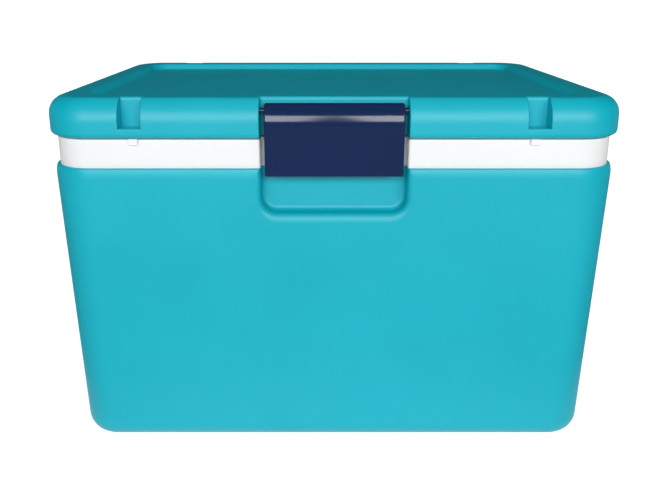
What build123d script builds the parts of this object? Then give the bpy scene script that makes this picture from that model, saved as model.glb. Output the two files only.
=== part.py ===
from build123d import *
from math import radians, sqrt, tan
import os

# An insulated vaccine carrier, in millimetres. +Z is up, the front faces -Y,
# and the origin is on the ground under the middle of the lid.

# Whole carrier
lid_width = 400
lid_depth = 270
shell_height = 220
band_height = 20
seam_gap = 1
lid_height = 27
corner_radius = 32

# Tub
tub_inset = 1
tub_draft = 1.5
tub_bottom_radius = 16
tub_rim_radius = 4
shell_wall = 2.5
base_wall = 3
foot_height = 2
foot_margin = 35
foot_radius = 20

# White rim band and chamber
band_inset = 4.5
liner_wall = 2
rim_wall = 2.5
ledge_width = 6
band_edge_radius = 0.8
mouth_lip_radius = 1.6
side_insulation = 27
base_insulation = 28
chamber_corner_radius = 20
chamber_floor_radius = 6
lug_width = 6.5
lug_height = 4.2
lug_depth = 3
lug_clearance = 0.3
lug_inset = 64

# Latch recess, which runs down through lid, band and tub
slot_width = 101
slot_depth = 13.5
pocket_depth = 15
pocket_drop = 32.5
pocket_corner_radius = 11
pocket_inner_radius = 3

# Hand grips in the ends of the tub
grip_width = 100
grip_height = 34
grip_depth = 16
grip_drop = 8
grip_corner_radius = 12
grip_lip_radius = 2

# Foam filling holes in the base
plug_spacing = 180
plug_stem_radius = 11
plug_head_radius = 14
plug_head_height = 1.5
plug_rim = 2

# Lid
lid_wall = 2.5
crown_radius = 20
crown_start = 10
crown_land = 0.01
lid_edge_radius = 5
lid_bottom_radius = 5
lid_lip_width = 10
slot_lip_width = 2
lid_lip_height = 3
tray_margin = 25
tray_depth = 5
tray_taper = 28
tray_corner_radius = 18
tray_edge_radius = 1.6
notch_width = 15
notch_depth = 12
notch_floor = 7
notch_inset = 62.5
notch_edge_radius = 2

# Lid underside and seal
cover_thickness = 4
cover_clearance = 0.15
lid_plug_depth = 14
lid_plug_gap = 2.5
lid_plug_draft = 3
lid_plug_radius = 3
gasket_width = 8
gasket_offset = 4
gasket_groove = 2.5
gasket_clearance = 0.3
gasket_radius = 2

# Latch flap
latch_side_gap = 3.2
latch_proud = 1
latch_top_drop = 3.5
latch_drop = 26
latch_wall = 2.6
latch_flange = 2.6
latch_knuckle_radius = 5.2
latch_crown_start = 8
latch_crown_radius = 24
latch_lip_depth = 5
latch_lip_height = 4
latch_edge_radius = 1.2
latch_ear_spacing = 46
latch_ear_width = 5
latch_ear_height = 15
hook_length = 66
hook_thickness = 3
hook_drop = 15.5
rib_spacing = 22
rib_width = 2
rib_rise = 9
rib_setback = 3
keeper_radius = 4
keeper_drop = 11.5
keeper_clearance = 0.3

# Hinges and their fasteners
pin_radius = 2
running_clearance = 0.05
knuckle_radius = 4.5
knuckle_gap = 0.4
hinge_axis_offset = 4.6
hinge_axis_drop = 1.5
hinge_width = 31
body_leaf_height = 17
body_leaf_thickness = 2.5
lid_leaf_width = 14.4
lid_leaf_arm = 4.2
lid_leaf_head = 13
leaf_radius = 2
screw_radius = 1.6
screw_length = 11
screw_head_radius = 3.2
screw_head_height = 1.8
screw_chamfer = 0.9
screw_slot_width = 0.9
body_screw_spacing = 18
body_screw_drop = 12.5
leaf_drop = 1
lid_screw_web = 4
pin_chamfer = 0.4
screw_recess_radius = 3.7

# Ice packs
pack_width = 120
pack_thickness = 34
pack_headroom = 1.5
pack_corner_radius = 9
pack_edge_radius = 6.5
pack_gap = 4
pack_wall_gap = 2.5
pack_panel_margin = 17
pack_panel_depth = 1.5
pack_panel_taper = 45
pack_neck_radius = 8.5
pack_neck_height = 8
pack_neck_margin = 17
pack_shoulder_width = 36
pack_shoulder_drop = 15
cap_radius = 12.5
cap_height = 12
cap_wall = 1.5
cap_lift = 1.5
cap_flutes = 8
cap_flute_radius = 1.6
cap_chamfer = 0.8

# Heights worked out from these
band_top = shell_height + band_height
lid_bottom = band_top + seam_gap
lid_top = lid_bottom + lid_height
base_top = foot_height + base_wall
chamber_floor = base_top + base_insulation + rim_wall
front = -lid_depth / 2
rear = lid_depth / 2

# Plan sizes worked out from these
tub_width = lid_width - 2 * tub_inset
tub_depth = lid_depth - 2 * tub_inset
band_width = lid_width - 2 * band_inset
band_depth = lid_depth - 2 * band_inset
band_radius = corner_radius - band_inset
wall_total = shell_wall + side_insulation + liner_wall
mouth_width = tub_width - 2 * wall_total
mouth_depth = tub_depth - 2 * wall_total
pack_height = lid_bottom - lid_plug_depth - chamber_floor - pack_headroom

pocket_floor = shell_height - pocket_drop
slot_back = front + slot_depth
band_front = front + band_inset
band_rear = rear - band_inset
pocket_back = front + pocket_depth
notch_spacing = lid_width - 2 * notch_inset
lug_spacing = lid_width - 2 * lug_inset
hinge_xs = (-notch_spacing / 2, notch_spacing / 2)

# Hinge axis and where each leaf's screws seat
hinge_axis = (rear + hinge_axis_offset, band_top - hinge_axis_drop)
leaf_top = band_top - leaf_drop
body_screw_seats = [
    (x + side * body_screw_spacing / 2, band_rear + body_leaf_thickness, leaf_top - body_screw_drop)
    for x in hinge_xs
    for side in (-1, 1)
]
notch_back = rear - notch_depth
leaf_head_top = lid_bottom + notch_floor + lid_leaf_head
lid_screw_seats = [
    (x, notch_back + lid_screw_web, lid_bottom + notch_floor + lid_leaf_head / 2) for x in hinge_xs
]

# Latch pivot: the knuckle's round is tangent to the crowned face of the flap
latch_face = front - latch_proud
latch_crown_base = lid_bottom + latch_crown_start
latch_pivot_z = lid_top - latch_top_drop - latch_knuckle_radius
latch_pivot_y = (
    latch_face
    + latch_crown_radius
    - sqrt(
        (latch_crown_radius - latch_knuckle_radius) ** 2
        - (latch_pivot_z - latch_crown_base) ** 2
    )
)
latch_bottom = lid_bottom - latch_drop
latch_width = slot_width - 2 * latch_side_gap
hook_root = latch_face + latch_wall / 2
hook_top = lid_bottom - hook_drop
hook_tip = slot_back - keeper_radius - keeper_clearance

os.makedirs("parts", exist_ok=True)


def keep(builder, name):
    builder.part.label = name
    export_step(builder.part, f"parts/{name}.step")


def tub_form(inset, bottom, bottom_radius):
    """The tub's drafted outline, drawn in from its outer face by inset."""
    with BuildPart() as form:
        with BuildSketch(Plane.XY.offset(shell_height)):
            RectangleRounded(
                tub_width - 2 * inset, tub_depth - 2 * inset, corner_radius - tub_inset - inset
            )
        extrude(amount=-(shell_height - bottom), taper=tub_draft)
        fillet(form.faces().sort_by(Axis.Z)[0].edges(), bottom_radius)
    return form.part


def chamber_form(grow, bottom):
    """The chamber's drafted hollow, made larger all round by grow."""
    with BuildPart() as form:
        with BuildSketch(Plane.XY.offset(band_top)):
            RectangleRounded(
                mouth_width + 2 * grow, mouth_depth + 2 * grow, chamber_corner_radius + grow
            )
        extrude(amount=-(band_top - bottom), taper=tub_draft)
        fillet(form.faces().sort_by(Axis.Z)[0].edges(), chamber_floor_radius + grow)
    return form.part


def latch_pocket(grow):
    """The tool that cuts the latch pocket, grown by the wall it leaves."""
    low = pocket_floor - grow
    half = slot_width / 2 + grow
    with BuildPart() as tool:
        with BuildSketch(Plane.XZ.offset(-(pocket_back + grow))) as outline:
            with Locations((0, low)):
                Rectangle(2 * half, shell_height - low, align=(Align.CENTER, Align.MIN))
            fillet(
                outline.vertices().group_by(Axis.Y)[0],
                pocket_corner_radius + grow,
            )
        extrude(amount=lid_depth / 2 + pocket_back + grow)
        back_edges = tool.faces().sort_by(Axis.Y)[-1].edges().sort_by(Axis.Z)[:-1]
        fillet(back_edges, pocket_inner_radius + grow)
    return tool.part


def hand_grips(grow):
    """The tools that cut both hand grips, grown by the wall they leave."""
    middle = shell_height - grip_drop - grip_height / 2
    with BuildPart() as tool:
        with BuildSketch(Plane.YZ.offset(tub_width / 2 - grip_depth - grow)):
            with Locations((0, middle)):
                RectangleRounded(
                    grip_width + 2 * grow, grip_height + 2 * grow, grip_corner_radius + grow
                )
        extrude(amount=grip_depth + grow + tub_inset)
        fillet(tool.faces().sort_by(Axis.X)[0].edges(), pocket_inner_radius + grow)
        mirror(about=Plane.YZ)
    return tool.part


def rim_outline(inset, slot_grow):
    """Draws the band's outline with the latch slot cut into its front."""
    RectangleRounded(band_width - 2 * inset, band_depth - 2 * inset, band_radius - inset)
    with Locations((0, front)):
        Rectangle(
            slot_width + 2 * slot_grow,
            slot_depth + slot_grow,
            align=(Align.CENTER, Align.MIN),
            mode=Mode.SUBTRACT,
        )


def lid_form(inset, top):
    """The lid's crowned outline, drawn in from its outer face by inset."""
    with BuildPart() as form:
        with BuildSketch(Plane.XY.offset(lid_bottom)):
            RectangleRounded(
                lid_width - 2 * inset, lid_depth - 2 * inset, corner_radius - inset
            )
        extrude(amount=crown_start + crown_radius - inset)
        fillet(form.faces().sort_by(Axis.Z)[-1].edges(), crown_radius - inset - crown_land)
        split(bisect_by=Plane.XY.offset(top), keep=Keep.BOTTOM)
    return form.part


def lid_slot(grow):
    """The tool that cuts the latch slot through the lid's front."""
    with BuildPart() as tool:
        with BuildSketch(Plane.XY.offset(lid_bottom)):
            with Locations((0, front)):
                Rectangle(
                    slot_width + 2 * grow,
                    2 * (slot_depth + grow),
                )
        extrude(amount=lid_height)
    return tool.part


def lid_notches(grow):
    """The tools that cut the four hinge notches, two at the front and two at the rear."""
    floor = lid_bottom + notch_floor - grow
    with BuildPart() as tool:
        with BuildSketch(Plane.XY.offset(floor)):
            with GridLocations(notch_spacing, lid_depth, 2, 2):
                Rectangle(notch_width + 2 * grow, 2 * (notch_depth + grow))
        extrude(amount=lid_top - floor)
    return tool.part


def tray_form(grow):
    """The tool that sinks the tray into the lid's top."""
    with BuildPart() as tool:
        with BuildSketch(Plane.XY.offset(lid_top)):
            RectangleRounded(
                lid_width - 2 * tray_margin + 2 * grow,
                lid_depth - 2 * tray_margin + 2 * grow,
                tray_corner_radius + grow,
            )
        extrude(amount=-(tray_depth + grow), taper=tray_taper)
    return tool.part


def cover_outline(shrink):
    """Draws the opening in the lid's underside, or the cover that fills it."""
    inset = lid_lip_width + shrink
    grow = lid_wall + slot_lip_width + shrink
    RectangleRounded(lid_width - 2 * inset, lid_depth - 2 * inset, corner_radius - inset)
    with Locations((0, front)):
        Rectangle(
            slot_width + 2 * grow,
            slot_depth + grow,
            align=(Align.CENTER, Align.MIN),
            mode=Mode.SUBTRACT,
        )


def seal_outline():
    """Draws the seal's ring, just outside the chamber mouth."""
    for offset, mode in ((gasket_offset + gasket_width, Mode.ADD), (gasket_offset, Mode.SUBTRACT)):
        RectangleRounded(
            mouth_width + 2 * offset,
            mouth_depth + 2 * offset,
            chamber_corner_radius + offset,
            mode=mode,
        )


def lid_plug_form(inset, top):
    """The block under the lid that enters the chamber mouth."""
    with BuildPart() as form:
        with BuildSketch(Plane.XY.offset(lid_bottom)):
            RectangleRounded(
                mouth_width - 2 * (lid_plug_gap + inset),
                mouth_depth - 2 * (lid_plug_gap + inset),
                chamber_corner_radius - lid_plug_gap - inset,
            )
        extrude(amount=inset - lid_plug_depth, taper=lid_plug_draft)
        if inset < lid_plug_radius:
            fillet(form.faces().sort_by(Axis.Z)[0].edges(), lid_plug_radius - inset)
        extrude(form.faces().sort_by(Axis.Z)[-1], amount=top - lid_bottom)
    return form.part


def shanks(seats):
    """The screws' shanks, driven forwards from their seats."""
    with BuildPart() as tool:
        for seat in seats:
            with BuildSketch(Plane(origin=seat, z_dir=(0, -1, 0))):
                Circle(screw_radius)
        extrude(amount=screw_length)
    return tool.part


def screws(seats):
    """Pan-head screws with a cross recess."""
    with BuildPart() as group:
        for seat in seats:
            with BuildSketch(Plane(origin=seat, z_dir=(0, 1, 0))):
                Circle(screw_head_radius)
        extrude(amount=screw_head_height)
        tops = group.faces().sort_by(Axis.Y)[-len(seats):]
        chamfer(tops.edges(), screw_chamfer)
        add(shanks(seats))
        for seat in seats:
            with BuildSketch(Plane(origin=seat, z_dir=(0, 1, 0)).offset(screw_head_height)):
                Rectangle(screw_head_radius, screw_slot_width)
                Rectangle(screw_slot_width, screw_head_radius)
        extrude(amount=-screw_head_height / 2, mode=Mode.SUBTRACT)
    return group.part


def flap_outline(inset, bottom, back):
    """Draws the flap from the side: flat face, crowned top, and a back edge at back."""
    face_y = latch_face + inset
    knuckle = latch_knuckle_radius - inset
    reach = (latch_pivot_z - latch_crown_base) / (latch_crown_radius - latch_knuckle_radius)
    run = sqrt(1 - reach**2)
    crown_y = latch_face + latch_crown_radius
    shoulder = (
        crown_y - (latch_crown_radius - inset) * run,
        latch_crown_base + (latch_crown_radius - inset) * reach,
    )
    with BuildSketch() as outline:
        with BuildLine():
            flat = Line((face_y, bottom), (face_y, latch_crown_base))
            crown = TangentArc(flat @ 1, shoulder, tangent=flat % 1)
            over = TangentArc(
                crown @ 1, (latch_pivot_y + knuckle, latch_pivot_z), tangent=crown % 1
            )
            Polyline(
                over @ 1,
                (latch_pivot_y + knuckle, latch_pivot_z - knuckle),
                (back, bottom),
                flat @ 0,
            )
        make_face()
    return outline.sketch_local


def hinge_side(name, x):
    """One hinge: the leaf on the band, the leaf in the lid's notch, and their pin."""
    outer = hinge_width / 2
    inner = lid_leaf_width / 2 + knuckle_gap

    with BuildPart() as body_leaf:
        with BuildSketch(Plane.XY.offset(leaf_top)):
            with Locations((x, band_rear)):
                Rectangle(hinge_width, body_leaf_thickness, align=(Align.CENTER, Align.MIN))
        extrude(amount=-body_leaf_height)
        fillet(body_leaf.edges().filter_by(Axis.Y).group_by(Axis.Z)[0], leaf_radius)
        for start in (x - outer, x + inner):
            with BuildSketch(Plane.YZ.offset(start)):
                with Locations(hinge_axis):
                    Circle(knuckle_radius)
                with Locations((band_rear, leaf_top)):
                    Rectangle(
                        body_leaf_thickness, knuckle_radius * 2, align=(Align.MIN, Align.MAX)
                    )
                make_hull()
            extrude(amount=outer - inner)
        with BuildSketch(Plane.YZ.offset(x - outer)):
            with Locations(hinge_axis):
                Circle(pin_radius)
        extrude(amount=hinge_width, mode=Mode.SUBTRACT)
        add(shanks(body_screw_seats), mode=Mode.SUBTRACT)
    keep(body_leaf, f"hinge_body_leaf_{name}")

    with BuildPart() as lid_leaf:
        with BuildSketch(Plane.YZ.offset(x - lid_leaf_width / 2)) as side:
            with Locations((rear, hinge_axis[1])):
                Rectangle(
                    lid_leaf_arm, leaf_head_top - hinge_axis[1], align=(Align.MIN, Align.MIN)
                )
            with Locations((notch_back, leaf_head_top)):
                Rectangle(
                    notch_depth + lid_leaf_arm, lid_leaf_head, align=(Align.MIN, Align.MAX)
                )
            fillet(side.vertices().sort_by(Axis.X)[-2:].sort_by(Axis.Y)[-1], leaf_radius)
            with Locations(hinge_axis):
                Circle(knuckle_radius)
                Circle(pin_radius + running_clearance, mode=Mode.SUBTRACT)
        extrude(amount=lid_leaf_width)
        with BuildSketch(Plane.XZ.offset(-rear - lid_leaf_arm)):
            with Locations((x, lid_screw_seats[0][2])):
                Circle(screw_recess_radius)
        extrude(amount=notch_depth + lid_leaf_arm - lid_screw_web, mode=Mode.SUBTRACT)
        add(shanks(lid_screw_seats), mode=Mode.SUBTRACT)
    keep(lid_leaf, f"hinge_lid_leaf_{name}")

    with BuildPart() as pin:
        with BuildSketch(Plane.YZ.offset(x - outer)):
            with Locations(hinge_axis):
                Circle(pin_radius)
        extrude(amount=hinge_width)
        chamfer(pin.edges().filter_by(GeomType.CIRCLE), pin_chamfer)
    keep(pin, f"hinge_pin_{name}")


def ice_pack(name, plane):
    """A coolant pack standing on its end, with a filler neck in a dropped shoulder."""
    neck_x = pack_width / 2 - pack_neck_margin
    with BuildPart() as pack:
        with BuildSketch(plane):
            RectangleRounded(pack_width, pack_thickness, pack_corner_radius)
        extrude(amount=pack_height)
        with BuildSketch(plane.offset(pack_height)):
            with Locations((pack_width / 2, 0)):
                Rectangle(
                    pack_shoulder_width, pack_thickness, align=(Align.MAX, Align.CENTER)
                )
        extrude(amount=-pack_shoulder_drop, mode=Mode.SUBTRACT)
        fillet(pack.faces().sort_by(Axis.Z)[0].edges(), pack_edge_radius)
        with BuildSketch(plane.offset(pack_height - pack_shoulder_drop)):
            with Locations((neck_x, 0)):
                Circle(pack_neck_radius)
        extrude(amount=pack_neck_height)
        for side in (-1, 1):
            face = Plane(
                origin=plane.origin
                + plane.z_dir * (pack_height - pack_shoulder_drop) / 2
                + plane.y_dir * side * pack_thickness / 2,
                x_dir=plane.x_dir,
                z_dir=plane.y_dir * side,
            )
            with BuildSketch(face):
                RectangleRounded(
                    pack_width - 2 * pack_panel_margin,
                    pack_height - pack_shoulder_drop - 2 * pack_panel_margin,
                    pack_corner_radius,
                )
            extrude(amount=-pack_panel_depth, taper=pack_panel_taper, mode=Mode.SUBTRACT)
    keep(pack, f"ice_pack_{name}")

    with BuildPart() as cap:
        base = plane.offset(pack_height - pack_shoulder_drop + cap_lift)
        with BuildSketch(base):
            with Locations((neck_x, 0)):
                Circle(cap_radius)
        extrude(amount=cap_height)
        chamfer(cap.faces().sort_by(Axis.Z)[-1].edges(), cap_chamfer)
        with BuildSketch(base):
            with Locations((neck_x, 0)):
                with PolarLocations(cap_radius, cap_flutes):
                    Circle(cap_flute_radius)
        extrude(amount=cap_height - cap_wall, mode=Mode.SUBTRACT)
        with BuildSketch(base):
            with Locations((neck_x, 0)):
                Circle(pack_neck_radius)
        extrude(amount=pack_neck_height - cap_lift, mode=Mode.SUBTRACT)
    keep(cap, f"ice_pack_cap_{name}")


# Hollow inside the tub, which the foam fills up to the rim
with BuildPart() as shell_cavity:
    add(tub_form(shell_wall, base_top, tub_bottom_radius - shell_wall))
    with BuildSketch(Plane.XY.offset(shell_height)):
        Rectangle(lid_width, lid_depth)
    extrude(amount=-shell_wall, mode=Mode.SUBTRACT)
    add(latch_pocket(shell_wall), mode=Mode.SUBTRACT)
    add(hand_grips(shell_wall), mode=Mode.SUBTRACT)

# Tub, moulded in one piece with the low plinth that it stands on
with BuildPart() as outer_shell:
    add(tub_form(0, foot_height, tub_bottom_radius))
    add(latch_pocket(0), mode=Mode.SUBTRACT)
    front_face = outer_shell.faces().filter_by(GeomType.PLANE).sort_by(Axis.Y)[0]
    top_face = outer_shell.faces().sort_by(Axis.Z)[-1]
    slot_half = slot_width / 2 + tub_rim_radius
    lip_edges = front_face.edges().filter_by(
        lambda e: abs(e.center().X) < slot_half
        and pocket_floor - tub_rim_radius < e.center().Z < shell_height - tub_rim_radius
    )
    rim_edges = top_face.outer_wire().edges().filter_by(
        lambda e: abs(e.center().X) > slot_half or e.center().Y > 0
    )
    fillet(lip_edges + rim_edges, tub_rim_radius)
    add(hand_grips(0), mode=Mode.SUBTRACT)
    for end in (0, -1):
        end_face = outer_shell.faces().filter_by(GeomType.PLANE).sort_by(Axis.X)[end]
        fillet(end_face.inner_wires()[0].edges(), grip_lip_radius)
    add(shell_cavity.part, mode=Mode.SUBTRACT)
    with BuildSketch(Plane.XY.offset(shell_height)):
        rim_outline(ledge_width, ledge_width)
    extrude(amount=-2 * shell_wall, mode=Mode.SUBTRACT)
    with BuildSketch(Plane.XY):
        RectangleRounded(lid_width - 2 * foot_margin, lid_depth - 2 * foot_margin, foot_radius)
    extrude(amount=foot_height)
    with BuildSketch(Plane.XY):
        with GridLocations(plug_spacing, 0, 2, 1):
            Circle(plug_head_radius + plug_rim)
    extrude(amount=foot_height, mode=Mode.SUBTRACT)
    with BuildSketch(Plane.XY):
        with GridLocations(plug_spacing, 0, 2, 1):
            Circle(plug_head_radius)
    extrude(amount=foot_height + plug_head_height, mode=Mode.SUBTRACT)
    with BuildSketch(Plane.XY):
        with GridLocations(plug_spacing, 0, 2, 1):
            Circle(plug_stem_radius)
    extrude(amount=foot_height + base_wall, mode=Mode.SUBTRACT)
keep(outer_shell, "outer_shell")

# Rigid foam between tub and liner, risen up inside the rim band
with BuildPart() as body_foam:
    add(shell_cavity.part)
    with BuildSketch(Plane.XY.offset(shell_height - shell_wall)):
        rim_outline(ledge_width, ledge_width)
    extrude(amount=shell_wall)
    with BuildSketch(Plane.XY.offset(shell_height)):
        rim_outline(rim_wall, rim_wall)
    extrude(amount=band_height - rim_wall)
    add(chamber_form(liner_wall, chamber_floor - rim_wall), mode=Mode.SUBTRACT)
    add(shanks(body_screw_seats), mode=Mode.SUBTRACT)
keep(body_foam, "body_foam")

# White liner: the chamber and the rim band in one moulding
with BuildPart() as inner_liner:
    with BuildSketch(Plane.XY.offset(shell_height)):
        rim_outline(0, 0)
    extrude(amount=band_height)
    fillet(inner_liner.faces().sort_by(Axis.Z)[-1].edges(), band_edge_radius)
    with BuildSketch(Plane.XY.offset(shell_height)):
        rim_outline(rim_wall, rim_wall)
    extrude(amount=band_height - rim_wall, mode=Mode.SUBTRACT)
    add(chamber_form(liner_wall, chamber_floor - rim_wall))
    add(chamber_form(0, chamber_floor), mode=Mode.SUBTRACT)
    fillet(inner_liner.faces().sort_by(Axis.Z)[-1].inner_wires()[0].edges(), mouth_lip_radius)
    with BuildSketch(Plane.XY.offset(band_top + seam_gap - lug_clearance)):
        with GridLocations(lug_spacing, 0, 2, 1):
            with Locations((0, band_front - lug_depth)):
                Rectangle(lug_width, lug_depth + rim_wall, align=(Align.CENTER, Align.MIN))
    extrude(amount=-lug_height)
    with BuildSketch(Plane.YZ):
        with Locations((slot_back, band_top - keeper_drop)):
            Circle(keeper_radius)
            Rectangle(
                2 * keeper_radius,
                2 * keeper_radius,
                align=(Align.MAX, Align.CENTER),
                mode=Mode.INTERSECT,
            )
    extrude(amount=hook_length / 2, both=True)
    add(shanks(body_screw_seats), mode=Mode.SUBTRACT)
keep(inner_liner, "inner_liner")

# Hollow inside the lid, above the lip that holds its underside
with BuildPart() as lid_cavity:
    add(lid_form(lid_wall, lid_top - lid_wall))
    add(lid_slot(lid_wall), mode=Mode.SUBTRACT)
    add(lid_notches(lid_wall), mode=Mode.SUBTRACT)
    add(tray_form(lid_wall), mode=Mode.SUBTRACT)
    with BuildSketch(Plane.XY.offset(lid_bottom)):
        Rectangle(lid_width, lid_depth)
    extrude(amount=lid_lip_height, mode=Mode.SUBTRACT)

# Lid top, with its tray, latch slot and hinge notches
with BuildPart() as lid_shell:
    add(lid_form(0, lid_top))
    fillet(lid_shell.faces().sort_by(Axis.Z)[-1].edges(), lid_edge_radius)
    fillet(lid_shell.faces().sort_by(Axis.Z)[0].edges(), lid_bottom_radius)
    add(tray_form(0), mode=Mode.SUBTRACT)
    tray_floor = lid_shell.faces().filter_by(Axis.Z).sort_by(SortBy.AREA)[-2]
    fillet(tray_floor.edges(), tray_edge_radius)
    add(lid_slot(0), mode=Mode.SUBTRACT)
    add(lid_notches(0), mode=Mode.SUBTRACT)
    seat_walls = lid_shell.faces().filter_by(Axis.Y).filter_by(
        lambda f: abs(f.center().Y) < rear - lid_wall
    )
    fillet([wall.edges().sort_by(Axis.Z)[-1] for wall in seat_walls], notch_edge_radius)
    add(lid_cavity.part, mode=Mode.SUBTRACT)
    with BuildSketch(Plane.XY.offset(lid_bottom)):
        cover_outline(0)
    extrude(amount=lid_lip_height, mode=Mode.SUBTRACT)
    with BuildSketch(Plane.YZ):
        with Locations((latch_pivot_y, latch_pivot_z)):
            Circle(pin_radius)
    extrude(amount=slot_width / 2 + 2 * lid_wall, both=True, mode=Mode.SUBTRACT)
    add(shanks(lid_screw_seats), mode=Mode.SUBTRACT)
keep(lid_shell, "lid_shell")

# Plate across the lid's underside, before its seal groove is cut
with BuildPart() as cover_plate:
    with BuildSketch(Plane.XY.offset(lid_bottom)):
        cover_outline(cover_clearance)
    extrude(amount=cover_thickness)
    add(lid_plug_form(liner_wall, lid_bottom + cover_thickness), mode=Mode.SUBTRACT)

# Rigid foam inside the lid and its plug
with BuildPart() as lid_foam:
    add(lid_cavity.part)
    with BuildSketch(Plane.XY.offset(lid_bottom)):
        cover_outline(cover_clearance)
    extrude(amount=lid_lip_height)
    add(lid_plug_form(liner_wall, lid_bottom + cover_thickness))
    add(cover_plate.part, mode=Mode.SUBTRACT)
    add(shanks(lid_screw_seats), mode=Mode.SUBTRACT)
keep(lid_foam, "lid_foam")

# White underside of the lid, with its plug and the groove for the seal
with BuildPart() as lid_liner:
    add(lid_plug_form(0, lid_bottom + liner_wall))
    add(cover_plate.part)
    add(lid_plug_form(liner_wall, lid_bottom + cover_thickness), mode=Mode.SUBTRACT)
    with BuildSketch(Plane.XY.offset(lid_bottom)):
        seal_outline()
    extrude(amount=gasket_groove, mode=Mode.SUBTRACT)
keep(lid_liner, "lid_liner")

# Soft seal that meets the rim all round the mouth
with BuildPart() as lid_gasket:
    with BuildSketch(Plane.XY.offset(band_top + gasket_clearance)):
        seal_outline()
    extrude(amount=seam_gap - gasket_clearance + gasket_groove)
    fillet(lid_gasket.faces().sort_by(Axis.Z)[0].edges(), gasket_radius)
keep(lid_gasket, "lid_gasket")

# Latch flap: an open-backed cover with ears for its pin and a hook along its inside
with BuildPart() as latch_flap:
    with BuildSketch(Plane.YZ.offset(-latch_width / 2)):
        add(flap_outline(0, latch_bottom, latch_face + latch_lip_depth))
    extrude(amount=latch_width)
    fillet(latch_flap.edges().filter_by(Axis.X).group_by(Axis.Z)[0], latch_edge_radius)
    fillet(latch_flap.faces().filter_by(Axis.X).edges(), latch_edge_radius)
    hollow_top = latch_pivot_z - latch_ear_height
    with BuildSketch(Plane.YZ.offset(-latch_width / 2 + latch_flange)):
        add(flap_outline(latch_wall, latch_bottom + latch_lip_height, slot_back))
    extrude(amount=latch_width - 2 * latch_flange, mode=Mode.SUBTRACT)
    for side in (-1, 1):
        with BuildSketch(Plane.YZ.offset(side * latch_ear_spacing / 2 - latch_ear_width / 2)):
            add(flap_outline(latch_wall / 2, hollow_top, latch_face + 2 * latch_wall))
    extrude(amount=latch_ear_width)
    with BuildSketch(Plane.YZ.offset(-hook_length / 2)) as hook:
        with Locations((hook_root, hook_top)):
            Rectangle(
                hook_tip - hook_root, hook_thickness, align=(Align.MIN, Align.MAX)
            )
        chamfer(hook.vertices().sort_by(Axis.X)[-2:].sort_by(Axis.Y)[0], hook_thickness / 2)
    extrude(amount=hook_length)
    for middle in (-rib_spacing, 0, rib_spacing):
        with BuildSketch(Plane.YZ.offset(middle - rib_width / 2)):
            with BuildLine():
                Polyline(
                    (hook_root, hook_top),
                    (hook_tip - rib_setback, hook_top),
                    (hook_root, hook_top + rib_rise),
                    close=True,
                )
            make_face()
        extrude(amount=rib_width)
    with BuildSketch(Plane.YZ):
        with Locations((latch_pivot_y, latch_pivot_z)):
            Circle(pin_radius + running_clearance)
    extrude(amount=latch_width, both=True, mode=Mode.SUBTRACT)
keep(latch_flap, "latch_flap")

with BuildPart() as latch_pin:
    with BuildSketch(Plane.YZ):
        with Locations((latch_pivot_y, latch_pivot_z)):
            Circle(pin_radius)
    extrude(amount=slot_width / 2 + lid_wall, both=True)
    chamfer(latch_pin.edges().filter_by(GeomType.CIRCLE), pin_chamfer)
keep(latch_pin, "latch_pin")

for side_name, hinge_x in zip(("left", "right"), hinge_xs):
    hinge_side(side_name, hinge_x)

for group_name, seats in (("body", body_screw_seats), ("lid", lid_screw_seats)):
    with BuildPart() as screw_group:
        add(screws(seats))
    keep(screw_group, f"hinge_{group_name}_screws")

# Plugs in the base's foam filling holes
for side_name, plug_x in (("left", -plug_spacing / 2), ("right", plug_spacing / 2)):
    with BuildPart() as foam_plug:
        with BuildSketch(Plane.XY.offset(foot_height)):
            with Locations((plug_x, 0)):
                Circle(plug_head_radius)
        extrude(amount=plug_head_height)
        with BuildSketch(Plane.XY.offset(foot_height)):
            with Locations((plug_x, 0)):
                Circle(plug_stem_radius)
        extrude(amount=base_wall)
    keep(foam_plug, f"foam_plug_{side_name}")

# Six coolant packs round the chamber: two along each long wall and one at each end
floor_inset = (band_top - chamber_floor) * tan(radians(tub_draft)) + pack_wall_gap
long_y = mouth_depth / 2 - floor_inset - pack_thickness / 2
end_x = mouth_width / 2 - floor_inset - pack_thickness / 2
pair_x = (pack_width + pack_gap) / 2
pack_places = {
    "front_left": ((-pair_x, -long_y), (-1, 0, 0)),
    "front_right": ((pair_x, -long_y), (1, 0, 0)),
    "rear_left": ((-pair_x, long_y), (-1, 0, 0)),
    "rear_right": ((pair_x, long_y), (1, 0, 0)),
    "end_left": ((-end_x, 0), (0, 1, 0)),
    "end_right": ((end_x, 0), (0, 1, 0)),
}
for pack_name, (place, along) in pack_places.items():
    ice_pack(pack_name, Plane(origin=(*place, chamber_floor), x_dir=along, z_dir=(0, 0, 1)))
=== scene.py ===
import math

import bmesh
import bpy
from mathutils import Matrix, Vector


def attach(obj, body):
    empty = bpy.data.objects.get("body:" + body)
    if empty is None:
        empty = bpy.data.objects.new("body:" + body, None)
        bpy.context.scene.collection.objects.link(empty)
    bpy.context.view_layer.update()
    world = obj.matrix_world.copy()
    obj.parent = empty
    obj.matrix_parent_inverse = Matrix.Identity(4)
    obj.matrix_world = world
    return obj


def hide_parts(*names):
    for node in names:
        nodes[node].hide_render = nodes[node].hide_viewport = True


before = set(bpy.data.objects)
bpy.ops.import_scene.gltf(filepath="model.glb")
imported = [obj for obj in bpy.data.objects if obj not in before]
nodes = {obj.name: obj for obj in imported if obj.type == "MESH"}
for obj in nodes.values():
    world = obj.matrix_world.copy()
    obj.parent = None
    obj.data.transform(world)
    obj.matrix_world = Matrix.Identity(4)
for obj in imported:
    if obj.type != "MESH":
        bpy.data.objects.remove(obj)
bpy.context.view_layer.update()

mm = 0.001
sharpAngle = math.radians(28)


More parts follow.
